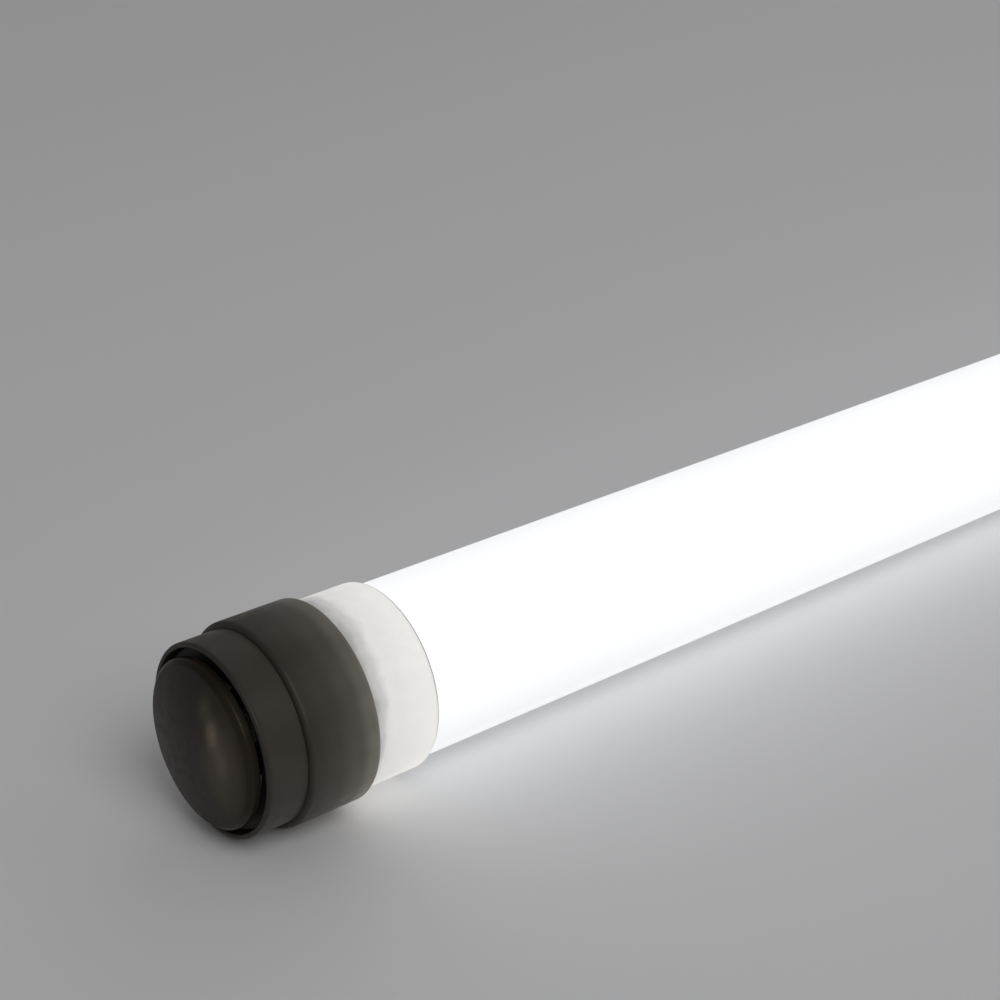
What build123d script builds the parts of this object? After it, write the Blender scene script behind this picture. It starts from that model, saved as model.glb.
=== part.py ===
"""LED light tube: a frosted 26 mm tube with a stepped, sealed cap at each end.

The tube lies along X, with its LEDs facing up (+Z). The near cap, at -X, carries a domed push
button. The far cap, at +X, carries the cable gland. Both caps are turned about the tube's axis,
so the places in them are given as depths, measured inwards from the cap's domed face.
The origin is on the surface that the lamp lies on, under the middle of its length.
Sizes are in millimetres.
"""
import os
from math import sqrt

from build123d import *

os.makedirs("parts", exist_ok=True)

# Driving dimensions
OVERALL_LENGTH = 600.0  # button face to gland nut
TUBE_R = 13.0  # outside of the diffuser, a T8 size
TUBE_WALL = 1.2
SLEEVE_R = 13.9  # outside of the collar and of the bezel ring
BODY_R = 14.8  # the cap body, which the lamp lies on
FACE_R = 12.1  # the domed face piece
BUTTON_TRAVEL = 1.2
CABLE_R = 2.5  # the supply cable that the gland is made for
GLAND_PROUD = 9.2  # how far the gland nut stands out of the far face
FIT = 0.05  # radial clearance of pieces that are slid together and bonded

# Depths in a cap, inwards from its domed face
RING_DEPTH = 2.8  # front of the bezel ring
BODY_DEPTH = 9.0  # front of the cap body
BEZEL_BACK_DEPTH = 12.0  # back of the bezel ring, inside the cap body
COLLAR_FRONT_DEPTH = 15.2  # closed front wall of the collar, inside the cap body
SEAT_DEPTH = 17.4  # where the tube's end stops inside the collar
BODY_BACK_DEPTH = 20.4  # back of the cap body, where the collar shows
CAP_DEPTH = 31.3  # end of the collar, where the bare tube starts

# Places worked out from the driving dimensions
TUBE_BORE_R = TUBE_R - TUBE_WALL
NEAR_FACE_X = -OVERALL_LENGTH / 2
FAR_FACE_X = OVERALL_LENGTH / 2 - GLAND_PROUD
TUBE_LENGTH = FAR_FACE_X - NEAR_FACE_X - 2 * SEAT_DEPTH
MIDDLE_X = (NEAR_FACE_X + FAR_FACE_X) / 2
AXIS_Z = BODY_R  # height of the tube's axis over the surface

TUBE_AXIS = Axis((0, 0, AXIS_Z), (1, 0, 0))
AXIAL = Plane(origin=(0, 0, AXIS_Z), x_dir=(1, 0, 0), z_dir=(0, -1, 0))  # x is X, y is up

# Name of each end, X of its domed face, and which way its depths run along X
NEAR = ("near", NEAR_FACE_X, 1)
FAR = ("far", FAR_FACE_X, -1)


def keep(part, name):
    """Labels a finished piece and writes it as parts/name.step."""
    part.label = name
    export_step(part, f"parts/{name}.step")


def depth(end, value):
    """X of a depth in that end's cap."""
    _, face_x, inwards = end
    return face_x + inwards * value


def across(end, value):
    """The plane across the tube at a depth, facing inwards, with its y axis up."""
    _, _, inwards = end
    origin = (depth(end, value), 0, AXIS_Z)
    return Plane(origin=origin, x_dir=(0, inwards, 0), z_dir=(inwards, 0, 0))


def turned(end, corners, mode=Mode.ADD):
    """Turns a closed outline of (depth, radius) corners about the tube's axis."""
    with BuildSketch(AXIAL) as outline:
        with BuildLine():
            Polyline(*[(depth(end, d), r) for d, r in corners], close=True)
        make_face()
    revolve(outline.sketch, axis=TUBE_AXIS, mode=mode)


def rims(part, radius, depth_x):
    """The circular edges of that radius at that X."""
    return [
        edge
        for edge in part.edges().filter_by(GeomType.CIRCLE)
        if abs(edge.radius - radius) < FIT and abs(edge.center().X - depth_x) < FIT
    ]


# ---------------------------------------------------------------- diffuser and light engine
BED_HEIGHT = -7.6  # top of the carrier's bed, from the tube's axis
BED_THICKNESS = 1.4
CARRIER_WIDTH = 14.8
LIP = 1.0  # width and height of the carrier's two lips
RIB_PITCH = 4.6
RIB_WIDTH = 1.2
RIB_CLEARANCE = 0.3  # between a rib's foot and the tube's bore
RAIL_HEIGHT = 1.0
RAIL_CLEARANCE = 0.1  # between a lip and the rail over it
RAIL_OVERLAP = 0.6  # how far a rail reaches over its lip
CARRIER_SETBACK = 1.0
BOARD_WIDTH = 12.0
BOARD_THICKNESS = 1.0
BOARD_SETBACK = 4.0
LED_COUNT = 36
LED_PITCH = 15.0
LED_SIZE = (3.5, 2.8)
LED_HEIGHT = 0.8
LEDS_PER_RESISTOR = 3
RESISTOR_SIZE = (2.0, 1.25)
RESISTOR_HEIGHT = 0.5
RESISTOR_Y = 3.6

# The diffuser is one extrusion: a round tube with a rail along each side of its bore.
rail_foot = BED_HEIGHT + LIP + RAIL_CLEARANCE
rail_reach = CARRIER_WIDTH / 2 - RAIL_OVERLAP
with BuildPart() as diffuser:
    with BuildSketch(across(NEAR, SEAT_DEPTH)):
        Circle(TUBE_R)
        Circle(TUBE_BORE_R, mode=Mode.SUBTRACT)
        with BuildSketch(mode=Mode.PRIVATE) as rails:
            Circle(TUBE_R - TUBE_WALL / 2)
            with Locations((0, rail_foot + RAIL_HEIGHT / 2)):
                Rectangle(2 * TUBE_R, RAIL_HEIGHT, mode=Mode.INTERSECT)
                Rectangle(2 * rail_reach, RAIL_HEIGHT, mode=Mode.SUBTRACT)
        add(rails.sketch)
    extrude(amount=TUBE_LENGTH)
keep(diffuser.part, "diffuser_tube")

# The carrier is an aluminium extrusion: a bed between two lips, on three cooling ribs with feet
# that follow the tube's bore.
rib_drop = TUBE_BORE_R + BED_HEIGHT - BED_THICKNESS  # from the bed's underside to past the bore
with BuildPart() as carrier:
    with BuildSketch(across(NEAR, SEAT_DEPTH + CARRIER_SETBACK)):
        with Locations((0, BED_HEIGHT)):
            Rectangle(CARRIER_WIDTH, BED_THICKNESS, align=(Align.CENTER, Align.MAX))
            with GridLocations(CARRIER_WIDTH - LIP, 0, 2, 1):
                Rectangle(LIP, LIP, align=(Align.CENTER, Align.MIN))
        with Locations((0, BED_HEIGHT - BED_THICKNESS)):
            with GridLocations(RIB_PITCH, 0, 3, 1):
                Rectangle(RIB_WIDTH, rib_drop, align=(Align.CENTER, Align.MAX))
        Circle(TUBE_BORE_R - RIB_CLEARANCE, mode=Mode.INTERSECT)
    extrude(amount=TUBE_LENGTH - 2 * CARRIER_SETBACK)
keep(carrier.part, "led_carrier")

with BuildPart() as led_board:
    with BuildSketch(across(NEAR, SEAT_DEPTH + BOARD_SETBACK)):
        with Locations((0, BED_HEIGHT)):
            Rectangle(BOARD_WIDTH, BOARD_THICKNESS, align=(Align.CENTER, Align.MIN))
    extrude(amount=TUBE_LENGTH - 2 * BOARD_SETBACK)
keep(led_board.part, "led_board")

# One row of LED packages
board_top = BED_HEIGHT + BOARD_THICKNESS  # from the tube's axis
board_face = Plane(origin=(MIDDLE_X, 0, AXIS_Z + board_top))
with BuildPart() as chips:
    with BuildSketch(board_face):
        with GridLocations(LED_PITCH, 0, LED_COUNT, 1):
            Rectangle(*LED_SIZE)
    extrude(amount=LED_HEIGHT)
keep(chips.part, "led_chips")

# Each string of LEDs has one series resistor, beside the row and between two packages.
with BuildPart() as resistors:
    with BuildSketch(board_face):
        with Locations((LED_PITCH / 2, RESISTOR_Y)):
            with GridLocations(LEDS_PER_RESISTOR * LED_PITCH, 0, LED_COUNT // LEDS_PER_RESISTOR, 1):
                Rectangle(*RESISTOR_SIZE)
    extrude(amount=RESISTOR_HEIGHT)
keep(resistors.part, "board_resistors")

# ---------------------------------------------------------------- cap shells, alike at both ends
COLLAR_EDGE = 0.7
BODY_FRONT_EDGE = 0.8
RING_BORE_R = 13.1  # bore of the bezel ring round the face piece
LIP_BORE_R = 10.1  # bore behind it, which the snap legs go through
GASKET_DEPTH = 4.3
LIP_DEPTH = 5.5  # the step that the gasket lies on
SLOT_WIDTH = 8.0  # slot in the collar's front wall, for the contacts
SLOT_HEIGHT = 3.0
SLOT_CENTRE = -4.4  # from the tube's axis

for end in (NEAR, FAR):
    side = end[0]

    # The collar is the sleeve over the tube's end. Its front wall stops the tube.
    with BuildPart() as collar:
        turned(
            end,
            [
                (COLLAR_FRONT_DEPTH, 0),
                (COLLAR_FRONT_DEPTH, SLEEVE_R),
                (CAP_DEPTH, SLEEVE_R),
                (CAP_DEPTH, TUBE_R + FIT),
                (SEAT_DEPTH, TUBE_R + FIT),
                (SEAT_DEPTH, 0),
            ],
        )
        chamfer(rims(collar, SLEEVE_R, depth(end, CAP_DEPTH)), COLLAR_EDGE)
        with BuildSketch(across(end, COLLAR_FRONT_DEPTH)):
            with Locations((0, SLOT_CENTRE)):
                Rectangle(SLOT_WIDTH, SLOT_HEIGHT)
        extrude(amount=SEAT_DEPTH - COLLAR_FRONT_DEPTH, mode=Mode.SUBTRACT)
    keep(collar.part, f"{side}_collar")

    # The cap body is the band that couples the collar and the bezel ring.
    with BuildPart() as body:
        turned(
            end,
            [
                (BODY_DEPTH, SLEEVE_R + FIT),
                (BODY_DEPTH, BODY_R),
                (BODY_BACK_DEPTH, BODY_R),
                (BODY_BACK_DEPTH, SLEEVE_R + FIT),
            ],
        )
        chamfer(rims(body, BODY_R, depth(end, BODY_DEPTH)), BODY_FRONT_EDGE)
    keep(body.part, f"{side}_cap_body")

    # The bezel ring stands round the face piece, which snaps in behind it.
    with BuildPart() as bezel:
        turned(
            end,
            [
                (RING_DEPTH, RING_BORE_R),
                (RING_DEPTH, SLEEVE_R),
                (BEZEL_BACK_DEPTH, SLEEVE_R),
                (BEZEL_BACK_DEPTH, LIP_BORE_R),
                (LIP_DEPTH, LIP_BORE_R),
                (LIP_DEPTH, RING_BORE_R),
            ],
        )
    keep(bezel.part, f"{side}_bezel_ring")

# Flat rubber rings at the bottom of the gap round each face piece
with BuildPart() as gaskets:
    for end in (NEAR, FAR):
        turned(
            end,
            [
                (GASKET_DEPTH, LIP_BORE_R),
                (GASKET_DEPTH, RING_BORE_R - FIT),
                (LIP_DEPTH, RING_BORE_R - FIT),
                (LIP_DEPTH, LIP_BORE_R),
            ],
        )
keep(gaskets.part, "face_gaskets")

# ---------------------------------------------------------------- face pieces
DOME_RISE = 1.1
DOME_EDGE_R = 11.5
DOME_STEPS = 4  # a small flat and shallow cones make the dome, within 0.07 of its sphere
RIM_DEPTH = 1.7  # where the rounded edge meets the side wall
BUTTON_BACK_DEPTH = 2.9
BOSS_R = 2.4
BOSS_DEPTH = 5.0
LEG_COUNT = 3
LEG_INNER_R = 8.4
LEG_OUTER_R = 9.6
LEG_WIDTH = 5.0
LEG_END_DEPTH = 13.6
HOOK_R = 10.5
HOOK_GAP = 0.1  # between a hook and the back of the bezel ring
HOOK_LAND = 0.5
PLUG_FACE_R = 10.9
GLAND_R = 4.0  # thread of the gland

# The dome's outline, from a small flat at its middle to the start of its rounded edge
dome_sphere_r = (DOME_EDGE_R**2 + DOME_RISE**2) / (2 * DOME_RISE)
dome_radii = [DOME_EDGE_R * step / DOME_STEPS for step in range(2, DOME_STEPS + 1)]
dome = [(0, 0), (0, DOME_EDGE_R / DOME_STEPS)]
dome += [(dome_sphere_r - sqrt(dome_sphere_r**2 - r**2), r) for r in dome_radii]

# The end button: a domed disc with a boss behind it for the switch. Its snap legs hook behind
# the bezel ring, and a slope on each hook leads it in.
hook_depth = BEZEL_BACK_DEPTH + HOOK_GAP
leg_profile = [
    (BUTTON_BACK_DEPTH, LEG_INNER_R),
    (BUTTON_BACK_DEPTH, LEG_OUTER_R),
    (hook_depth, LEG_OUTER_R),
    (hook_depth, HOOK_R),
    (hook_depth + HOOK_LAND, HOOK_R),
    (LEG_END_DEPTH, LEG_OUTER_R),
    (LEG_END_DEPTH, LEG_INNER_R),
]
with BuildPart() as button:
    turned(
        NEAR,
        dome
        + [
            (RIM_DEPTH, FACE_R),
            (BUTTON_BACK_DEPTH, FACE_R),
            (BUTTON_BACK_DEPTH, BOSS_R),
            (BOSS_DEPTH, BOSS_R),
            (BOSS_DEPTH, 0),
        ],
    )
    for leg in range(LEG_COUNT):
        with BuildSketch(AXIAL.rotated((360 * leg / LEG_COUNT, 0, 0))):
            with BuildLine():
                Polyline(*[(depth(NEAR, d), r) for d, r in leg_profile], close=True)
            make_face()
        extrude(amount=LEG_WIDTH / 2, both=True)
keep(button.part, "end_button")

# The far end's plug is fixed, thicker, and flat where the gland sits on it.
with BuildPart() as plug:
    turned(
        FAR,
        [
            (0, GLAND_R + FIT),
            (0, PLUG_FACE_R),
            (RIM_DEPTH, FACE_R),
            (GASKET_DEPTH, FACE_R),
            (GASKET_DEPTH, GLAND_R + FIT),
        ],
    )
keep(plug.part, "far_end_plug")

# ---------------------------------------------------------------- end boards and contacts
END_BOARD_SIZE = 11.6  # the square board's corners clear the snap legs
END_BOARD_THICKNESS = 1.2
STRIP_THICKNESS = 0.4
STRIP_WIDTH = 1.6
STRIP_SPACING = 4.0
STRIP_HEIGHT = -4.4  # where a contact leaves the end board, from the tube's axis
STRIP_BEND = 3.0  # from the tube's end to the bend, along the tube
STRIP_LANDING = 6.0  # from the tube's end to where the contact lies on the LED board
STRIP_PAD = 2.4
board_front_depth = COLLAR_FRONT_DEPTH - END_BOARD_THICKNESS

for end in (NEAR, FAR):
    side = end[0]

    with BuildPart() as end_board:
        with BuildSketch(across(end, board_front_depth)):
            Rectangle(END_BOARD_SIZE, END_BOARD_SIZE)
        extrude(amount=END_BOARD_THICKNESS)
    keep(end_board.part, f"{side}_board")

    # Two formed strips lead from the end board, through the collar's slot, to the LED board.
    centre_line = [
        (depth(end, COLLAR_FRONT_DEPTH), STRIP_HEIGHT),
        (depth(end, SEAT_DEPTH + STRIP_BEND), STRIP_HEIGHT),
        (depth(end, SEAT_DEPTH + STRIP_LANDING), board_top),
        (depth(end, SEAT_DEPTH + STRIP_LANDING + STRIP_PAD), board_top),
    ]
    upper_line = [(x, height + STRIP_THICKNESS) for x, height in reversed(centre_line)]
    with BuildPart() as contacts:
        for y in (-STRIP_SPACING / 2, STRIP_SPACING / 2):
            with BuildSketch(AXIAL.offset(-y)):
                with BuildLine():
                    Polyline(*centre_line, *upper_line, close=True)
                make_face()
            extrude(amount=STRIP_WIDTH / 2, both=True)
    keep(contacts.part, f"{side}_contacts")

# ---------------------------------------------------------------- switch, in the near cap
SWITCH_SIZE = 7.0
SWITCH_HEIGHT = 4.4
PLUNGER_R = 1.6
PLUNGER_LENGTH = 6.9
PLUNGER_FIT = 0.08  # radial running clearance in the switch
BOTTOM_GAP = 0.3  # left under the plunger when the button is pressed home
BOOT_R = 2.4
BOOT_WALL = 0.5
switch_top_depth = board_front_depth - SWITCH_HEIGHT
bore_end_depth = BOSS_DEPTH + PLUNGER_LENGTH + BUTTON_TRAVEL + BOTTOM_GAP

# The switch stands on its board, with a blind bore for the plunger.
with BuildPart() as switch:
    with BuildSketch(across(NEAR, switch_top_depth)):
        Rectangle(SWITCH_SIZE, SWITCH_SIZE)
    extrude(amount=SWITCH_HEIGHT)
    with BuildSketch(across(NEAR, switch_top_depth)):
        Circle(PLUNGER_R + PLUNGER_FIT)
    extrude(amount=bore_end_depth - switch_top_depth, mode=Mode.SUBTRACT)
keep(switch.part, "switch_housing")

with BuildPart() as plunger:
    with BuildSketch(across(NEAR, BOSS_DEPTH)):
        Circle(PLUNGER_R)
    extrude(amount=PLUNGER_LENGTH)
keep(plunger.part, "switch_plunger")

# The return boot is a silicone sleeve round the plunger. It pushes the boss off the switch.
with BuildPart() as return_boot:
    with BuildSketch(across(NEAR, BOSS_DEPTH)):
        Circle(BOOT_R)
        Circle(BOOT_R - BOOT_WALL, mode=Mode.SUBTRACT)
    extrude(amount=switch_top_depth - BOSS_DEPTH)
keep(return_boot.part, "return_boot")

# ---------------------------------------------------------------- inlet, in the far cap
GLAND_HEX_R = 6.2  # across the corners, from the axis
GLAND_FLANGE = 1.6
NECK_R = 3.6
NECK_LENGTH = 3.8
GLAND_BORE_R = 3.0
LOCK_NUT_THICKNESS = 2.0
THREAD_END_DEPTH = 7.0
NUT_GAP = 0.2  # between the gland nut and the flange
NUT_HEX_LENGTH = 5.4
NUT_NOSE_R = 3.9
NUT_SHOULDER_R = 5.2
NUT_MOUTH_R = 2.8
NUT_MOUTH_LENGTH = 1.6
GROMMET_LENGTH = 8.0
TERMINAL_SIZE = (9.0, 7.0)
TERMINAL_LENGTH = 5.4
TERMINAL_ENTRY = 1.8
TERMINAL_ENTRY_DEPTH = 3.0
TERMINAL_RISE = 1.8
TERMINAL_PITCH = 4.4
CAPACITOR_R = 1.8
CAPACITOR_LENGTH = 5.0
CAPACITOR_DROP = 3.9

# The gland's body passes through the plug: a hex flange outside, a plain neck in front of it for
# the nut, and the thread behind it.
neck_end_depth = -GLAND_FLANGE - NECK_LENGTH
with BuildPart() as gland_body:
    with BuildSketch(across(FAR, -GLAND_FLANGE)):
        RegularPolygon(GLAND_HEX_R, 6)
    extrude(amount=GLAND_FLANGE)
    with BuildSketch(across(FAR, neck_end_depth)):
        Circle(NECK_R)
    extrude(amount=NECK_LENGTH)
    with BuildSketch(across(FAR, 0)):
        Circle(GLAND_R)
    extrude(amount=THREAD_END_DEPTH)
    with BuildSketch(across(FAR, neck_end_depth)):
        Circle(GLAND_BORE_R)
    extrude(amount=THREAD_END_DEPTH - neck_end_depth, mode=Mode.SUBTRACT)
keep(gland_body.part, "gland_body")

# The dome nut: a hexagon under a sloped nose, hollow over the neck, with the cable's mouth.
nut_back_depth = -GLAND_FLANGE - NUT_GAP
with BuildPart() as gland_nut:
    turned(
        FAR,
        [
            (-GLAND_PROUD, 0),
            (-GLAND_PROUD, NUT_NOSE_R),
            (nut_back_depth - NUT_HEX_LENGTH, NUT_SHOULDER_R),
            (nut_back_depth - NUT_HEX_LENGTH, 0),
        ],
    )
    with BuildSketch(across(FAR, nut_back_depth - NUT_HEX_LENGTH)):
        RegularPolygon(GLAND_HEX_R, 6)
    extrude(amount=NUT_HEX_LENGTH)
    turned(
        FAR,
        [
            (-GLAND_PROUD, 0),
            (-GLAND_PROUD, NUT_MOUTH_R),
            (NUT_MOUTH_LENGTH - GLAND_PROUD, NUT_MOUTH_R),
            (NUT_MOUTH_LENGTH - GLAND_PROUD, NECK_R + FIT),
            (nut_back_depth, NECK_R + FIT),
            (nut_back_depth, 0),
        ],
        mode=Mode.SUBTRACT,
    )
keep(gland_nut.part, "gland_nut")

with BuildPart() as grommet:
    with BuildSketch(across(FAR, NUT_MOUTH_LENGTH - GLAND_PROUD)):
        Circle(GLAND_BORE_R - FIT)
        Circle(CABLE_R, mode=Mode.SUBTRACT)
    extrude(amount=GROMMET_LENGTH)
keep(grommet.part, "gland_grommet")

with BuildPart() as lock_nut:
    with BuildSketch(across(FAR, GASKET_DEPTH)):
        RegularPolygon(GLAND_HEX_R, 6)
        Circle(GLAND_R + FIT, mode=Mode.SUBTRACT)
    extrude(amount=LOCK_NUT_THICKNESS)
keep(lock_nut.part, "gland_lock_nut")

# The supply's two wires end in the terminal block, and the capacitor below it smooths them.
terminal_front = across(FAR, board_front_depth - TERMINAL_LENGTH)
with BuildPart() as terminals:
    with BuildSketch(terminal_front):
        with Locations((0, TERMINAL_RISE)):
            Rectangle(*TERMINAL_SIZE)
    extrude(amount=TERMINAL_LENGTH)
    with BuildSketch(terminal_front):
        with Locations((0, TERMINAL_RISE)):
            with GridLocations(TERMINAL_PITCH, 0, 2, 1):
                Rectangle(TERMINAL_ENTRY, TERMINAL_ENTRY)
    extrude(amount=TERMINAL_ENTRY_DEPTH, mode=Mode.SUBTRACT)
keep(terminals.part, "terminal_block")

with BuildPart() as capacitor:
    with BuildSketch(across(FAR, board_front_depth - CAPACITOR_LENGTH)):
        with Locations((0, -CAPACITOR_DROP)):
            Circle(CAPACITOR_R)
    extrude(amount=CAPACITOR_LENGTH)
keep(capacitor.part, "inlet_capacitor")
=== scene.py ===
"""Looks of the LED light tube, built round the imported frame. Metres, in the frame's own axes.

The shells, both face pieces, the gland and the boot are built again here with finer facets and
moulded edges. The other pieces inside the lamp keep their CAD meshes and get their own finishes.
"""
from math import acos, cos, pi, radians, sin, sqrt, tan

import bmesh
import bpy
from mathutils import Matrix, Vector


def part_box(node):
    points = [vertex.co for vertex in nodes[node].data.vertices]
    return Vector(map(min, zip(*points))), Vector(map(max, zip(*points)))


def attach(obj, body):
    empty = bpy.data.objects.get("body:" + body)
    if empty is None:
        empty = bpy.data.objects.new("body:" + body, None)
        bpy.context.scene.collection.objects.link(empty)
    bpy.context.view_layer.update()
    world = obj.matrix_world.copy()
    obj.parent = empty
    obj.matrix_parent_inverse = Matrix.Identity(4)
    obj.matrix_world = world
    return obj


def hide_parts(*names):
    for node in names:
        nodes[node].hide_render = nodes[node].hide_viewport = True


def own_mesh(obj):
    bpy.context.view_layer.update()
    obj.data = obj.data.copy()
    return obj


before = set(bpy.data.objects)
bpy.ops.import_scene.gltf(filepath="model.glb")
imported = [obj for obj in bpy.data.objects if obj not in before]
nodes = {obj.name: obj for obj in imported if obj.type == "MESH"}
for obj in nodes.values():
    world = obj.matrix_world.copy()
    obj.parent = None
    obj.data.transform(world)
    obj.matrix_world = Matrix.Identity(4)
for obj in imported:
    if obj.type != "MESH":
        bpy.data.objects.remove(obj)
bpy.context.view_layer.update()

MM = 0.001
TURN_STEPS = 192  # facets round a turned piece
ARC_STEPS = 6  # facets along a rounded edge
ON_AXIS = 1e-7  # a point of an outline this near to the axis is on it, in metres
WELD = 1e-6  # vertices this near to each other are one, in metres
SHARP_ANGLE = radians(40)  # edges that turn more than this stay sharp
NORMAL_WEIGHT = 80  # how far the larger faces set the shading
NOISE_RANGE = (0.3, 0.7)  # where nearly all the values of a noise node lie

# Radii of rounded edges that many pieces share, in mm. An outline's other radii are its own.
CRISP = 0.1
FINE = 0.15
BROKEN = 0.2
EASED = 0.3


# ---------------------------------------------------------------- places from the frame
def box_radius(node):
    low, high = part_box(node)
    return (high.y - low.y) / 2


tube_low, tube_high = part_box("diffuser_tube")
axis_z = (tube_low.z + tube_high.z) / 2
tube_r = box_radius("diffuser_tube")
body_r = box_radius("near_cap_body")
sleeve_r = box_radius("near_collar")
face_r = box_radius("end_button")


class End:
    """One cap: the X of its domed face and the direction of its depths along X."""

    def __init__(self, side, face_node, inwards):
        low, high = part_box(face_node)
        self.side = side
        self.inwards = inwards
        self.face_x = low.x if inwards > 0 else high.x

    def x(self, depth):
        """X of a depth, which is measured inwards from the domed face."""
        return self.face_x + self.inwards * depth

    def span(self, node):
        """The nearer and the further depth of a CAD node."""
        low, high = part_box(node)
        depths = [(x - self.face_x) * self.inwards for x in (low.x, high.x)]
        return min(depths), max(depths)


NEAR = End("near", "end_button", 1)
FAR = End("far", "far_end_plug", -1)
ring_front, bezel_back = NEAR.span("near_bezel_ring")
body_front, body_back = NEAR.span("near_cap_body")
collar_front, collar_back = NEAR.span("near_collar")


# ---------------------------------------------------------------- meshes
def rounded(corners):
    """Replaces each (x, r, radius) corner of a closed outline that has a radius by an arc."""
    points = []
    for i, (x, r, radius) in enumerate(corners):
        here = Vector((x, r))
        if radius == 0:
            points.append(here)
            continue
        before = (Vector(corners[i - 1][:2]) - here).normalized()
        after = (Vector(corners[(i + 1) % len(corners)][:2]) - here).normalized()
        half = acos(max(-1, min(1, before.dot(after)))) / 2
        centre = here + (before + after).normalized() * (radius / sin(half))
        start = here + before * (radius / tan(half)) - centre
        end = here + after * (radius / tan(half)) - centre
        turn = start.angle(end)
        for step in range(ARC_STEPS + 1):
            t = step / ARC_STEPS
            points.append(centre + (start * sin((1 - t) * turn) + end * sin(t * turn)) / sin(turn))
    return points


def new_piece(name, mesh, body, slot, *replaced):
    """A mesh object that rides on a body and stands for the CAD nodes that it replaces."""
    piece = bpy.data.objects.new(name, mesh)
    bpy.context.scene.collection.objects.link(piece)
    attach(piece, body)
    if replaced:
        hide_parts(*replaced)
    return piece


def smooth(piece):
    """Smooth shading that keeps flat faces flat and corners sharp."""
    mesh = piece.data
    mesh.polygons.foreach_set("use_smooth", [True] * len(mesh.polygons))
    mesh.set_sharp_from_angle(angle=SHARP_ANGLE)
    weighted = piece.modifiers.new("even_normals", "WEIGHTED_NORMAL")
    weighted.keep_sharp = True
    weighted.weight = NORMAL_WEIGHT


def as_mesh(name, bm):
    """A finished mesh with outward normals."""
    bmesh.ops.recalc_face_normals(bm, faces=bm.faces)
    mesh = bpy.data.meshes.new(name)
    bm.to_mesh(mesh)
    bm.free()
    return mesh


def turned_mesh(name, end, corners):
    """Turns a closed outline of (depth, r, radius) corners, in mm, about the tube's axis.

    The radii at both ends of a side add up to less than its length, or the outline crosses itself.
    """
    bm = bmesh.new()
    outline = rounded([(end.x(depth * MM), r * MM, radius * MM) for depth, r, radius in corners])
    rings = []
    for point in outline:
        if point.y < ON_AXIS:
            rings.append([bm.verts.new((point.x, 0, axis_z))])
            continue
        ring = []
        for step in range(TURN_STEPS):
            a = 2 * pi * step / TURN_STEPS
            ring.append(bm.verts.new((point.x, point.y * sin(a), axis_z + point.y * cos(a))))
        rings.append(ring)
    for i, ring in enumerate(rings):
        other = rings[(i + 1) % len(rings)]
        if len(ring) == 1 and len(other) == 1:
            continue
        for step in range(TURN_STEPS):
            nxt = (step + 1) % TURN_STEPS
            if len(ring) == 1:
                bm.faces.new((ring[0], other[step], other[nxt]))
            elif len(other) == 1:
                bm.faces.new((ring[step], other[0], ring[nxt]))
            else:
                bm.faces.new((ring[step], other[step], other[nxt], ring[nxt]))
    return as_mesh(name, bm)


def prism_mesh(name, outline, place, thickness):
    """A closed prism: place(u, v, w) puts a point of the (u, v) outline at height w."""
    bm = bmesh.new()
    low = [bm.verts.new(place(u, v, -thickness / 2)) for u, v in outline]
    high = [bm.verts.new(place(u, v, thickness / 2)) for u, v in outline]
    bm.faces.new(low)
    bm.faces.new(high)
    for i, corner in enumerate(low):
        following = (i + 1) % len(low)
        bm.faces.new((corner, low[following], high[following], high[i]))
    return as_mesh(name, bm)


def combined(name, mesh, operation, *others):
    """The exact boolean of a mesh with others, as one new mesh."""
    base = bpy.data.objects.new(name, mesh)
    bpy.context.scene.collection.objects.link(base)
    tools = []
    for other in others:
        tool = bpy.data.objects.new(other.name, other)
        bpy.context.scene.collection.objects.link(tool)
        cut = base.modifiers.new(other.name, "BOOLEAN")
        cut.operation = operation
        cut.object = tool
        cut.solver = "EXACT"
        tools.append(tool)
    shaped = base.evaluated_get(bpy.context.evaluated_depsgraph_get())
    result = bpy.data.meshes.new_from_object(shaped)
    for spent in (base, *tools):
        bpy.data.objects.remove(spent)
    result.name = name
    return result


def turned(name, end, corners, body, slot, *replaced):
    """A smooth turned piece that rides on a body."""
    piece = new_piece(name, turned_mesh(name, end, corners), body, slot, *replaced)
    smooth(piece)
    return piece


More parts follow.
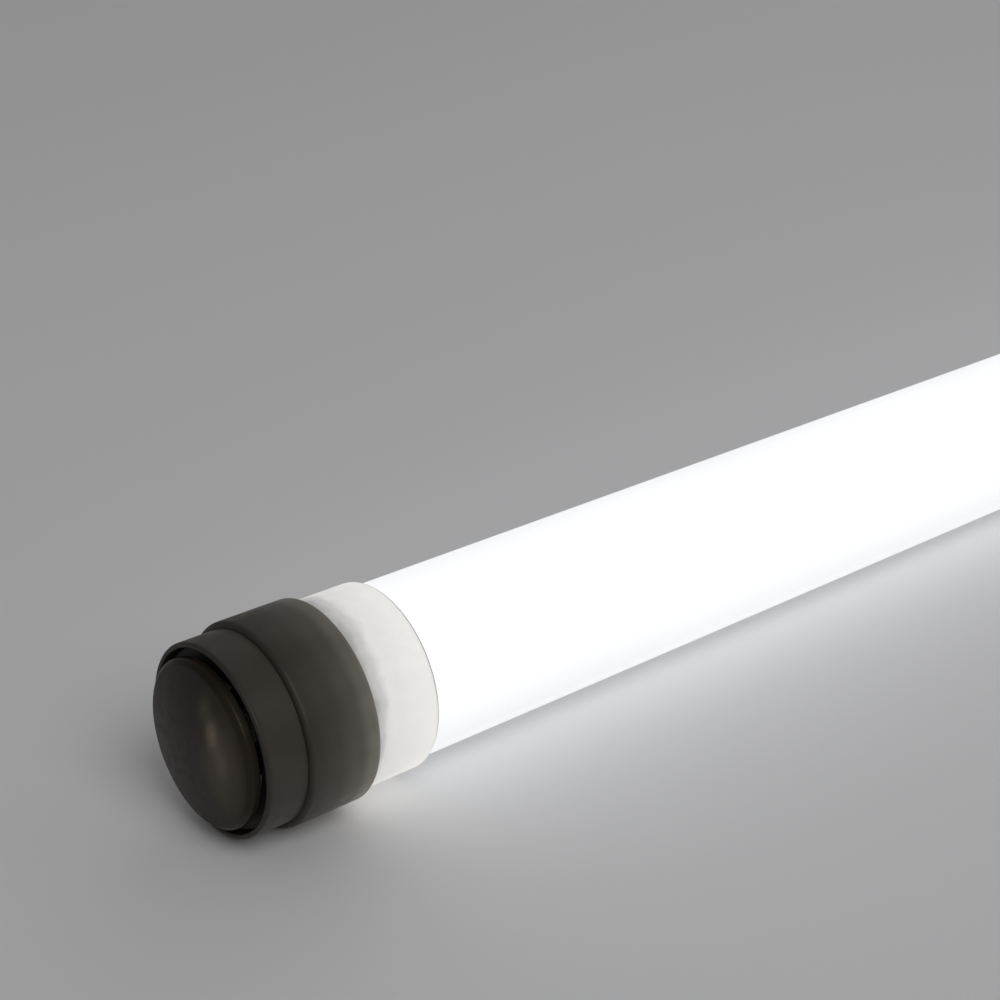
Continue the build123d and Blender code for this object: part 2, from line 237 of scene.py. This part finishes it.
# ---------------------------------------------------------------- materials
class Finish:
    """A node material built round one Principled shader."""

    def __init__(self, name, color, roughness, **sockets):
        self.material = bpy.data.materials.new(name)
        self.material.use_nodes = True
        self.tree = self.material.node_tree
        self.shader = self.tree.nodes["Principled BSDF"]
        self.shader.inputs["Base Color"].default_value = (*color, 1)
        self.shader.inputs["Roughness"].default_value = roughness
        for socket, value in sockets.items():
            self.shader.inputs[socket.replace("_", " ")].default_value = value
        self.place = self.tree.nodes.new("ShaderNodeTexCoord").outputs["Object"]

    def node(self, kind, links=None, **values):
        """Adds a node, sets its values and links its named inputs."""
        made = self.tree.nodes.new(kind)
        for key, value in values.items():
            setattr(made, key, value)
        for socket, source in (links or {}).items():
            if isinstance(source, bpy.types.NodeSocket):
                self.tree.links.new(source, made.inputs[socket])
            else:
                made.inputs[socket].default_value = source
        return made

    def noise(self, size, detail=3.0, stretch=(1, 1, 1)):
        """Noise whose grains are about that many metres across, as a 0 to 1 value."""
        mapping = self.node("ShaderNodeMapping", {"Vector": self.place, "Scale": stretch})
        links = {"Vector": mapping.outputs["Vector"], "Scale": 1 / size, "Detail": detail}
        return self.node("ShaderNodeTexNoise", links).outputs["Fac"]

    def spread(self, value, low, high, start=0.0, end=1.0):
        """Maps a value from the range start to end onto low to high."""
        links = {"Value": value, "From Min": start, "From Max": end, "To Min": low, "To Max": high}
        return self.node("ShaderNodeMapRange", links).outputs["Result"]

    def vary(self, noise, low, high):
        """Maps noise onto low to high."""
        return self.spread(noise, low, high, *NOISE_RANGE)

    def math(self, operation, *values):
        made = self.node("ShaderNodeMath", dict(enumerate(values)), operation=operation)
        return made.outputs["Value"]

    def product(self, value, *factors):
        for factor in factors:
            value = self.math("MULTIPLY", value, factor)
        return value

    def axis(self, name):
        return self.node("ShaderNodeSeparateXYZ", {"Vector": self.place}).outputs[name]

    def rising(self, axis, start, end):
        """0 to 1 between two places along an axis."""
        return self.spread(self.axis(axis), 0, 1, start, end)

    def vector(self, operation, output, *vectors):
        made = self.node("ShaderNodeVectorMath", dict(enumerate(vectors)), operation=operation)
        return made.outputs[output]

    def away(self, y, z, width=1.0, height=1.0):
        """Distance from a line along X, with Y counted in widths and Z in heights."""
        offset = self.vector("SUBTRACT", "Vector", self.place, (0, y, z))
        scaled = self.vector("MULTIPLY", "Vector", offset, (0, 1 / width, 1 / height))
        return self.vector("LENGTH", "Value", scaled)

    def skin(self, inner, outer):
        """0 to 1 between two radii, which keeps a glow on a shell's outside."""
        return self.spread(self.away(0, axis_z), 0, 1, inner, outer)

    def ramp(self, value, *stops):
        """A value curve through (position, value) stops."""
        curve = self.node("ShaderNodeValToRGB", {"Fac": value})
        elements = curve.color_ramp.elements
        curve.color_ramp.interpolation = "EASE"
        while len(elements) < len(stops):
            elements.new(0.5)
        for element, (position, level) in zip(elements, stops):
            element.position = position
            element.color = (level, level, level, 1)
        return curve.outputs["Color"]

    def shade(self, value, dark, light):
        """Base colour that varies between two colours."""
        mixed = self.node("ShaderNodeMix", {"Factor": value}, data_type="RGBA")
        mixed.inputs["A"].default_value = (*dark, 1)
        mixed.inputs["B"].default_value = (*light, 1)
        self.tree.links.new(mixed.outputs["Result"], self.shader.inputs["Base Color"])

    def bump(self, height, depth):
        """Surface relief of that depth in metres."""
        links = {"Height": height, "Distance": depth, "Strength": 1.0}
        normal = self.node("ShaderNodeBump", links).outputs["Normal"]
        self.tree.links.new(normal, self.shader.inputs["Normal"])

    def drive(self, socket, value):
        self.tree.links.new(value, self.shader.inputs[socket])

    def glow(self, color, strength):
        self.shader.inputs["Emission Color"].default_value = (*color, 1)
        self.drive("Emission Strength", strength)

    def on(self, *pieces):
        for piece in pieces:
            piece.data.materials.clear()
            piece.data.materials.append(self.material)


# Moulded plastic: the sizes of its patches, and how far its tone and its roughness vary
TONE_SIZE = 6 * MM
TONE = (0.92, 1.07)
GLOSS_SIZE = 1.5 * MM
GLOSS = (-0.05, 0.07)


def moulded(name, color, roughness, grain=0.25 * MM, depth=0.006 * MM, toned=True, **sockets):
    """Moulded plastic: a fine spark-eroded texture, soft blotches in tone and gloss."""
    finish = Finish(name, color, roughness, **sockets)
    if toned:
        dark, light = ([min(1, c * tone) for c in color] for tone in TONE)
        finish.shade(finish.vary(finish.noise(TONE_SIZE, 2.0), 0, 1), dark, light)
    patches = finish.noise(GLOSS_SIZE, 4.0)
    finish.drive("Roughness", finish.vary(patches, roughness + GLOSS[0], roughness + GLOSS[1]))
    finish.bump(finish.noise(grain, 4.0), depth)
    return finish


# ---------------------------------------------------------------- diffuser
LED_WHITE = (0.975, 0.985, 1.0)
TUBE_WALL = 1.2 * MM
RAIL_GAP = 0.1 * MM  # between the carrier and the rails over it
RAIL_HEIGHT = 1.0 * MM
RAIL_OVERLAP = 0.6 * MM  # how far the rails reach over the carrier's edges
TUBE_GLOW = 0.69
GLOW_BY_HEIGHT = ((0.0, 0.35), (0.07, 0.62), (0.2, 0.74), (0.6, 0.95), (1.0, 0.97))
LONG_STREAKS = (0.01, 1, 1)  # noise drawn out along the tube


def diffuser_tube():
    """The extruded tube: a round wall with a rail along each side of its bore."""
    bore = tube_r - TUBE_WALL
    carrier_low, carrier_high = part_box("led_carrier")
    rail_foot = carrier_high.z - axis_z + RAIL_GAP
    rail_head = rail_foot + RAIL_HEIGHT
    rail_reach = (carrier_high.y - carrier_low.y) / 2 - RAIL_OVERLAP
    curve = bpy.data.curves.new("diffuser_section", "CURVE")
    curve.dimensions = "2D"
    curve.fill_mode = "BOTH"
    curve.extrude = (tube_high.x - tube_low.x) / 2

    def loop(points):
        spline = curve.splines.new("POLY")
        spline.points.add(len(points) - 1)
        for point, (y, z) in zip(spline.points, points):
            point.co = (y, z, 0, 1)
        spline.use_cyclic_u = True

    def arc(radius, start, stop, steps):
        turns = [start + (stop - start) * i / steps for i in range(steps + 1)]
        return [(radius * sin(a), radius * cos(a)) for a in turns]

    head_turn = acos(rail_head / bore)
    foot_turn = acos(rail_foot / bore)
    loop(arc(tube_r, 0, 2 * pi, TURN_STEPS)[:-1])
    inner = arc(bore, -head_turn, head_turn, TURN_STEPS * 2 // 3)
    inner += [(rail_reach, rail_head), (rail_reach, rail_foot)]
    inner += arc(bore, foot_turn, 2 * pi - foot_turn, TURN_STEPS // 4)
    inner += [(-rail_reach, rail_foot), (-rail_reach, rail_head)]
    loop(inner)
    section = bpy.data.objects.new("diffuser_section", curve)
    extruded = bpy.data.meshes.new_from_object(section)
    bpy.data.objects.remove(section)
    middle = Vector(((tube_low.x + tube_high.x) / 2, 0, axis_z))
    across = Matrix(((0, 0, 1), (1, 0, 0), (0, 1, 0))).to_4x4()
    extruded.transform(Matrix.Translation(middle) @ across)
    bm = bmesh.new()
    bm.from_mesh(extruded)
    bpy.data.meshes.remove(extruded)
    bmesh.ops.remove_doubles(bm, verts=bm.verts, dist=WELD)
    mesh = as_mesh("diffuser", bm)
    piece = new_piece("diffuser", mesh, "lamp", "diffuser", "diffuser_tube")
    smooth(piece)
    return piece


def diffuser_finish():
    """Frosted polycarbonate, lit from inside by LEDs that face up."""
    finish = Finish("frosted_diffuser", (0.80, 0.81, 0.82), roughness=0.42)
    height = finish.rising("Z", axis_z - tube_r, axis_z + tube_r)
    round_glow = finish.ramp(height, *GLOW_BY_HEIGHT)
    cloud = finish.vary(finish.noise(30 * MM, 1.0), 0.985, 1.015)
    streaks = finish.noise(1.2 * MM, 2.0, stretch=LONG_STREAKS)
    drawn = finish.vary(streaks, 0.992, 1.008)
    finish.glow(LED_WHITE, finish.product(round_glow, cloud, drawn, TUBE_GLOW))
    finish.drive("Roughness", finish.vary(finish.noise(0.4 * MM, 3.0), 0.38, 0.5))
    finish.bump(streaks, 0.01 * MM)
    return finish


diffuser_finish().on(diffuser_tube())

# -------------------------------------------------- cap shells, depths and radii in mm
FIT = 0.05  # gap between pieces that sit in each other
COLLAR_SEAT = 17.4  # depth of the wall that the tube's end meets
RING_BORE = 13.1
LIP_BORE = 10.1
LIP = 5.5  # depth of the lip's front, under the gasket
GASKET = 4.3  # depth of the gasket's front, and of the plug's back
COLLAR_LIP_EDGE = 0.8
BODY_FRONT_EDGE = 0.8
BODY_BACK_EDGE = 0.45
RING_FRONT_EDGE = 0.4
GASKET_EDGE = 0.25

SMOKE = (0.034, 0.028, 0.021)
# The faces' plastic is the same smoke made darker: painted shade, as the faces look away from the
# light.
FACE_SHADED_SMOKE = (0.015, 0.011, 0.007)
MILK = (0.50, 0.495, 0.475)
# The next grey is painted shade, for the dark line where the collar meets the tube.
SEAM_SHADE_GREY = (0.18, 0.18, 0.18)
BLACK_RUBBER = (0.02, 0.017, 0.013)
WARM_GLOSS = (1.0, 0.86, 0.70, 1.0)
SHELL_SPECULAR = 0.3
FACE_SPECULAR = 0.15

# Painted glow on the shells, for light that comes through them, and painted shade on that glow: its
# colours, its strengths and how it falls off
MILK_LIGHT = (1.0, 0.99, 0.965)
PAINTED_WARM_GLOW = (1.0, 0.92, 0.80)
PAINTED_FACE_GLOW = (1.0, 0.81, 0.60)
COLLAR_GLOW = 0.57
BODY_GLOW = 0.14
RING_GLOW = 0.010
# COLLAR_BY_DEPTH drops the glow near the collar's back: painted shade for the dark line by the
# tube.
COLLAR_BY_DEPTH = ((0.0, 0.70), (0.3, 0.86), (0.9, 1.0), (0.94, 0.95), (0.975, 0.2))
COLLAR_BY_SHADE = ((0.0, 0.30), (0.45, 0.64), (1.0, 1.0))
BODY_BY_DEPTH = ((0.0, 0.0), (0.08, 0.06), (0.35, 0.14), (0.7, 0.34), (0.9, 0.72), (1.0, 1.0))
RING_BY_DEPTH = ((0.04, 0.0), (0.16, 0.8), (1.0, 1.0))
SPOT_BY_DISTANCE = ((0.0, 1.0), (0.3, 0.6), (0.7, 0.12), (1.0, 0.0))
COLLAR_SHADE_LINE = (0.7 * MM, 0.25 * MM)  # painted shade: a dark line where the collar meets the tube, measured from the collar's back
COVERED = 1.5 * MM  # how far the collar's glow goes in under the band
SHADE_REACH = (0.10, 0.42)  # of the collar's open length, low on the collar and at its top
SHADE_WOBBLE = 0.25


def collar_corners():
    front, back = collar_front / MM, collar_back / MM
    outer, bore = sleeve_r / MM, tube_r / MM + FIT
    return [
        (front, 0, 0),
        (front, outer, BROKEN),
        (back, outer, COLLAR_LIP_EDGE),
        (back, bore, 0),
        (COLLAR_SEAT, bore, 0),
        (COLLAR_SEAT, 0, 0),
    ]


def body_corners():
    outer, bore = body_r / MM, sleeve_r / MM + FIT
    return [
        (body_front / MM, bore, 0),
        (body_front / MM, outer, BODY_FRONT_EDGE),
        (body_back / MM, outer, BODY_BACK_EDGE),
        (body_back / MM, bore, CRISP),
    ]


def bezel_corners():
    return [
        (ring_front / MM, RING_BORE, EASED),
        (ring_front / MM, sleeve_r / MM, RING_FRONT_EDGE),
        (bezel_back / MM, sleeve_r / MM, BROKEN),
        (bezel_back / MM, LIP_BORE, BROKEN),
        (LIP, LIP_BORE, BROKEN),
        (LIP, RING_BORE, CRISP),
    ]


def gasket_corners():
    return [
        (GASKET, LIP_BORE, CRISP),
        (GASKET, RING_BORE - FIT, GASKET_EDGE),
        (LIP, RING_BORE - FIT, CRISP),
        (LIP, LIP_BORE, CRISP),
    ]


def collar_finish(end):
    """Milky sleeve with a painted glow for the tube's light through it, dimmer towards the bottom,
    a painted shade by the band that wavers and a painted dark line where it meets the tube.
    """
    finish = moulded(f"{end.side}_milky_collar", MILK, roughness=0.36, toned=False)
    # Painted shade: a dark line where the collar meets the tube, in the base colour here and in the
    # glow's curve.
    line = finish.rising("X", *(end.x(collar_back - before) for before in COLLAR_SHADE_LINE))
    finish.shade(line, MILK, SEAM_SHADE_GREY)
    depth = finish.rising("X", end.x(body_back), end.x(collar_back))
    uncovered = finish.rising("X", end.x(body_back - COVERED), end.x(body_back))
    height = finish.axis("Z")
    reach = finish.spread(height, *SHADE_REACH, axis_z - sleeve_r * 0.3, axis_z + sleeve_r)
    wobble = finish.vary(finish.noise(5 * MM, 3.0), -SHADE_WOBBLE, SHADE_WOBBLE)
    from_body = finish.math("ADD", finish.math("DIVIDE", depth, reach), wobble)
    shade = finish.ramp(from_body, *COLLAR_BY_SHADE)
    shape = finish.ramp(depth, *COLLAR_BY_DEPTH)
    mottle = finish.vary(finish.noise(1.8 * MM, 3.0), 0.97, 1.03)
    # Painted shade: the glow is dimmer towards the bottom.
    lower = finish.spread(height, 0.86, 1.0, axis_z - sleeve_r, axis_z)
    level = finish.product(shape, shade, mottle, uncovered, lower, COLLAR_GLOW)
    finish.glow(MILK_LIGHT, level)
    return finish


def smoky(name, roughness):
    return moulded(name, SMOKE, roughness, Specular_IOR_Level=SHELL_SPECULAR)


def body_finish(end):
    """Smoky band with a painted warm glow for the light that leaks into it from the collar, and
    painted shade that dims that glow at its top.
    """
    finish = smoky(f"{end.side}_smoky_body", roughness=0.48)
    shape = finish.ramp(finish.rising("X", end.x(body_front), end.x(body_back)), *BODY_BY_DEPTH)
    mottle = finish.vary(finish.noise(3 * MM, 3.0), 0.9, 1.1)
    # Painted shade: the glow is dimmer towards the top of the band.
    top_shade = finish.spread(finish.axis("Z"), 1.0, 0.6, axis_z, axis_z + body_r)
    outside = finish.skin(sleeve_r + 0.3 * MM, body_r - 0.3 * MM)
    finish.glow(PAINTED_WARM_GLOW, finish.product(shape, top_shade, mottle, outside, BODY_GLOW))
    return finish


def ring_finish(end):
    """Smoky ring with a faint painted glow on its outside for light through it, and none on its
    front rim.
    """
    finish = smoky(f"{end.side}_smoky_ring", roughness=0.45)
    shape = finish.ramp(finish.rising("X", end.x(ring_front), end.x(body_front)), *RING_BY_DEPTH)
    mottle = finish.vary(finish.noise(3 * MM, 3.0), 0.9, 1.1)
    outside = finish.skin(sleeve_r - 0.6 * MM, sleeve_r - 0.1 * MM)
    finish.glow(PAINTED_WARM_GLOW, finish.product(shape, mottle, outside, RING_GLOW))
    return finish


def face_finish(name, spots=()):
    """The face's plastic, with spots of painted glow on it that make a painted highlight: (y, z,
    width, height, level) in mm.
    """
    finish = moulded(
        name,
        FACE_SHADED_SMOKE,
        roughness=0.34,
        Specular_IOR_Level=FACE_SPECULAR,
        Specular_Tint=WARM_GLOSS,
    )
    total = 0.0
    for y, z, width, height, level in spots:
        away = finish.away(y * MM, axis_z + z * MM, width * MM, height * MM)
        spot = finish.product(finish.ramp(away, *SPOT_BY_DISTANCE), level)
        total = finish.math("ADD", total, spot)
    if spots:
        finish.glow(PAINTED_FACE_GLOW, total)
    return finish


rubber_finish = moulded("black_rubber", BLACK_RUBBER, roughness=0.6, grain=0.12 * MM)

for end in (NEAR, FAR):
    side = end.side
    collar = turned(
        f"{side}_collar_shell", end, collar_corners(), "lamp", "collar", f"{side}_collar"
    )
    collar_finish(end).on(collar)
    body = turned(f"{side}_body_band", end, body_corners(), "lamp", "cap_body", f"{side}_cap_body")
    body_finish(end).on(body)
    bezel = turned(f"{side}_ring", end, bezel_corners(), "lamp", "bezel_ring", f"{side}_bezel_ring")
    ring_finish(end).on(bezel)

gaskets = []
for end in (NEAR, FAR):
    gaskets.append(turned(f"{end.side}_gasket_ring", end, gasket_corners(), "lamp", "gasket"))
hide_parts("face_gaskets")
rubber_finish.on(*gaskets)

# ---------------------------------------------------------------- face pieces, in mm
DOME_RISE = 1.1
DOME_EDGE = 11.5  # radius where the dome ends
DOME_STEPS = 24
DOME_ROUND = 0.8  # radius of the edge there
RIM = 1.7  # depth where the face pieces are widest
RIM_EDGE = 0.6
BUTTON_BACK = 2.9
BOSS = (2.4, 5.0)  # radius and end depth
LEG_COUNT = 3
LEG_RADII = (8.4, 9.6)  # inner and outer
LEG_WIDTH = 5.0
LEG_ROOT = 0.4  # how far the legs go into the disc
HOOK = (12.1, 12.6, 10.5)  # front and end of its land, and its radius
LEG_END = 13.6
PLUG_FLAT = 10.9
PLUG_EDGE = 1.0
GLAND_THREAD = 4.0
# Painted highlight on the disc, a slanted streak on a broad glow: (y, z, width, height, level)
DISC_PAINTED_HIGHLIGHT = (
    (-4.7, 4.2, 2.2, 3.6, 0.044),
    (-3.0, 7.2, 2.8, 3.8, 0.014),
    (-6.3, 1.2, 3.2, 5.0, 0.011),
    (-6.6, 0.0, 7.5, 13.0, 0.024),
)


def dome_corners():
    """The dome's sphere, from its middle to the edge."""
    sphere = (DOME_EDGE**2 + DOME_RISE**2) / (2 * DOME_RISE)
    radii = [DOME_EDGE * step / DOME_STEPS for step in range(DOME_STEPS)]
    return [(sphere - sqrt(sphere**2 - r**2), r, 0) for r in radii]


def button_mesh():
    disc = turned_mesh(
        "button_disc",
        NEAR,
        dome_corners()
        + [
            (DOME_RISE, DOME_EDGE, DOME_ROUND),
            (RIM, face_r / MM, RIM_EDGE),
            (BUTTON_BACK, face_r / MM, EASED),
            (BUTTON_BACK, BOSS[0], BROKEN),
            (BOSS[1], BOSS[0], BROKEN),
            (BOSS[1], 0, 0),
        ],
    )
    root = BUTTON_BACK - LEG_ROOT
    inner, outer = LEG_RADII
    hook_front, hook_end, hook_r = HOOK
    profile = [(root, inner), (root, outer), (hook_front, outer), (hook_front, hook_r)]
    profile += [(hook_end, hook_r), (LEG_END, outer), (LEG_END, inner)]
    legs = []
    for leg in range(LEG_COUNT):
        turn = 2 * pi * leg / LEG_COUNT
        up, side = Vector((0, sin(turn), cos(turn))), Vector((0, cos(turn), -sin(turn)))

        def place(depth, r, width, up=up, side=side):
            return Vector((NEAR.x(depth * MM), 0, axis_z)) + up * (r * MM) + side * (width * MM)

        legs.append(prism_mesh(f"leg_{leg}", profile, place, LEG_WIDTH))
    return combined("button", disc, "UNION", *legs)


button = new_piece("button_face", button_mesh(), "button", "face_piece", "end_button")
smooth(button)
face_finish("near_smoky_face", DISC_PAINTED_HIGHLIGHT).on(button)

plug = turned(
    "plug_face",
    FAR,
    [
        (0, GLAND_THREAD + FIT, CRISP),
        (0, PLUG_FLAT, PLUG_EDGE),
        (RIM, face_r / MM, RIM_EDGE),
        (GASKET, face_r / MM, BROKEN),
        (GASKET, GLAND_THREAD + FIT, CRISP),
    ],
    "lamp",
    "face_piece",
    "far_end_plug",
)
face_finish("smoky_plug").on(plug)

# ---------------------------------------------------------------- return boot, in mm
BOOT = (1.9, 2.4)  # bore and outside
BOOT_WAIST = 2.15
BOOT_WAISTS = (6.5, 8.3)  # depths of its two folds
FOLD = 0.4  # half the length of a fold
SILICONE = (0.50, 0.50, 0.47)

boot_front, boot_back = NEAR.span("return_boot")
boot_corners = [(boot_front / MM, BOOT[0], CRISP), (boot_front / MM, BOOT[1], FINE)]
for waist in BOOT_WAISTS:
    boot_corners.append((waist - FOLD, BOOT[1], FINE))
    boot_corners.append((waist, BOOT_WAIST, CRISP))
    boot_corners.append((waist + FOLD, BOOT[1], FINE))
boot_corners += [(boot_back / MM, BOOT[1], FINE), (boot_back / MM, BOOT[0], CRISP)]
boot = turned("bellows_boot", NEAR, boot_corners, "lamp", "silicone", "return_boot")
moulded("silicone", SILICONE, roughness=0.5).on(boot)
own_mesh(boot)

# ---------------------------------------------------------------- gland, in mm
HEX_R = 6.2
HEX_EDGE = 0.35  # half the width of the flat on an upright edge
HEX_CORNER_R = HEX_R * 0.985  # how far out the ends of those flats are
HEX_SPARE = 1  # how far the cutting prism goes past a piece
SHOULDER_EDGE = 0.5
NOSE_EDGE = 0.7
FLANGE = 1.6  # thickness
NECK = (3.6, 5.4)  # radius and how far it stands out
GLAND_BORE = 3.0
THREAD_END = 7.0
NUT_BACK = 1.8
NUT_SHOULDER = (5.2, 7.2)  # radius and how far out
NOSE_R = 3.9
NUT_FRONT = 9.2
MOUTH = (2.8, 7.6)  # radius and how far out its back is
CABLE_R = 2.5
GROMMET_BACK = 0.4
GREY_NYLON = (0.14, 0.135, 0.13)


def hexagon(name, front, back):
    """A hexagonal prism over a range of depths, with its upright edges rounded."""
    corners = []
    for i in range(6):
        a = pi / 3 * i
        for turn in (-HEX_EDGE / HEX_R, HEX_EDGE / HEX_R):
            corners.append((HEX_CORNER_R * cos(a + turn), HEX_CORNER_R * sin(a + turn)))

    def place(y, z, along):
        return Vector((FAR.x((front + back) / 2 * MM) + along * MM, y * MM, axis_z + z * MM))

    return prism_mesh(name, corners, place, back - front)


def gland_body_mesh():
    outline = [
        (-NECK[1], GLAND_BORE, CRISP),
        (-NECK[1], NECK[0], EASED),
        (-FLANGE, NECK[0], CRISP),
        (-FLANGE, HEX_R, EASED),
        (0, HEX_R, EASED),
        (0, GLAND_THREAD, 0),
        (THREAD_END, GLAND_THREAD, EASED),
        (THREAD_END, GLAND_BORE, CRISP),
    ]
    solid = turned_mesh("gland_turned", FAR, outline)
    sides = hexagon("gland_hex", -NECK[1] - HEX_SPARE, THREAD_END + HEX_SPARE)
    return combined("gland_body_shape", solid, "INTERSECT", sides)


def gland_nut_mesh():
    outline = [
        (-NUT_FRONT, MOUTH[0], EASED),
        (-NUT_FRONT, NOSE_R, NOSE_EDGE),
        (-NUT_SHOULDER[1], NUT_SHOULDER[0], BROKEN),
        (-NUT_SHOULDER[1], HEX_R, SHOULDER_EDGE),
        (-NUT_BACK, HEX_R, SHOULDER_EDGE),
        (-NUT_BACK, NECK[0] + FIT, FINE),
        (-MOUTH[1], NECK[0] + FIT, CRISP),
        (-MOUTH[1], MOUTH[0], CRISP),
    ]
    solid = turned_mesh("nut_turned", FAR, outline)
    sides = hexagon("nut_hex", -NUT_FRONT - HEX_SPARE, 0)
    return combined("gland_nut_shape", solid, "INTERSECT", sides)


gland_finish = moulded("grey_nylon", GREY_NYLON, roughness=0.42, grain=0.2 * MM)
for name, mesh, node in (
    ("gland_flange_body", gland_body_mesh(), "gland_body"),
    ("gland_dome_nut", gland_nut_mesh(), "gland_nut"),
):
    piece = new_piece(name, mesh, "lamp", "gland", node)
    smooth(piece)
    gland_finish.on(piece)

grommet = turned(
    "cable_grommet",
    FAR,
    [
        (-MOUTH[1], CABLE_R, BROKEN),
        (-MOUTH[1], GLAND_BORE - FIT, FINE),
        (GROMMET_BACK, GLAND_BORE - FIT, FINE),
        (GROMMET_BACK, CABLE_R, FINE),
    ],
    "lamp",
    "grommet",
    "gland_grommet",
)
rubber_finish.on(grommet)

aluminium = Finish("drawn_aluminium", (0.76, 0.76, 0.77), roughness=0.34, Metallic=1.0)
drawn_lines = aluminium.noise(0.8 * MM, 3.0, stretch=(0.02, 1, 1))
aluminium.drive("Roughness", aluminium.vary(drawn_lines, 0.25, 0.45))
aluminium.bump(drawn_lines, 0.01 * MM)
aluminium.on(nodes["led_carrier"])

# Solder mask over copper, coarser than moulded plastic
for name, color, boards in (
    ("white_board", (0.80, 0.80, 0.77), ["led_board"]),
    ("green_board", (0.03, 0.16, 0.06), ["near_board", "far_board"]),
):
    mask = moulded(name, color, roughness=0.32, grain=0.5 * MM)
    mask.on(*(nodes[board] for board in boards))

phosphor = moulded("led_package", (0.86, 0.74, 0.30), roughness=0.25)
phosphor.glow(LED_WHITE, phosphor.vary(phosphor.noise(2 * MM), 2.0, 2.4))
phosphor.on(nodes["led_chips"])

tinned = Finish("tinned_strip", (0.72, 0.70, 0.64), roughness=0.3, Metallic=1.0)
tinned.drive("Roughness", tinned.vary(tinned.noise(0.6 * MM, 3.0), 0.22, 0.42))
tinned.on(nodes["near_contacts"], nodes["far_contacts"])

for node, name, color, roughness in (
    ("board_resistors", "resistor_glaze", (0.02, 0.02, 0.02), 0.3),
    ("switch_housing", "switch_black", (0.02, 0.02, 0.02), 0.4),
    ("switch_plunger", "acetal", (0.66, 0.66, 0.63), 0.3),
    ("terminal_block", "terminal_green", (0.03, 0.20, 0.07), 0.4),
    ("inlet_capacitor", "capacitor_sleeve", (0.02, 0.025, 0.04), 0.25),
):
    moulded(name, color, roughness).on(nodes[node])
gland_finish.on(nodes["gland_lock_nut"])

# ---------------------------------------------------------------- stage, lights and camera
FLOOR_SIZE = 60  # metres, so that its edge is never in a low view
FLOOR_COLOR = (0.82, 0.82, 0.825)
LAMP_SIZE = 1.4
WORLD_LEVEL = 0.20
WORLD_BLUE = 1.02  # blue against red and green
CAMERA_LENS = 75.93
CAMERA_FROM_COLLAR = Vector((-0.1556, -0.2108, 0.1454))  # from the axis at the collar's back
CAMERA_AIM = Vector((0.5875, 0.6965, -0.4122))


def floor():
    bm = bmesh.new()
    bmesh.ops.create_grid(bm, x_segments=1, y_segments=1, size=FLOOR_SIZE / 2)
    mesh = bpy.data.meshes.new("floor")
    bm.to_mesh(mesh)
    bm.free()
    piece = bpy.data.objects.new("floor", mesh)
    bpy.context.scene.collection.objects.link(piece)
    finish = Finish("pale_floor", FLOOR_COLOR, roughness=0.6)
    finish.bump(finish.noise(0.8 * MM, 3.0), 0.02 * MM)
    finish.on(piece)


def area_light(name, place, target, power):
    light = bpy.data.lights.new(name, "AREA")
    light.shape = "DISK"
    light.size = LAMP_SIZE
    light.energy = power
    lamp = bpy.data.objects.new(name, light)
    lamp.location = place
    aim = Vector(target) - Vector(place)
    lamp.rotation_euler = aim.to_track_quat("-Z", "Y").to_euler()
    bpy.context.scene.collection.objects.link(lamp)


def world_light():
    world = bpy.data.worlds.new("studio")
    world.use_nodes = True
    color = (WORLD_LEVEL, WORLD_LEVEL, WORLD_LEVEL * WORLD_BLUE, 1)
    world.node_tree.nodes["Background"].inputs["Color"].default_value = color
    bpy.context.scene.world = world


def camera():
    data = bpy.data.cameras.new("camera")
    data.lens = CAMERA_LENS
    data.clip_start = 0.01
    seat = Vector((NEAR.x(collar_back), 0, axis_z))
    cam = bpy.data.objects.new("camera", data)
    cam.location = seat + CAMERA_FROM_COLLAR
    cam.rotation_euler = CAMERA_AIM.to_track_quat("-Z", "Y").to_euler()
    bpy.context.scene.collection.objects.link(cam)
    bpy.context.scene.camera = cam


floor()
area_light("key", place=(-0.5, -1.5, 1.5), target=(-0.2, 0, 0), power=14)
area_light("fill", place=(1.4, 1.2, 1.2), target=(0.1, 0, 0), power=2)
world_light()
camera()
bpy.context.scene.view_settings.view_transform = "Standard"
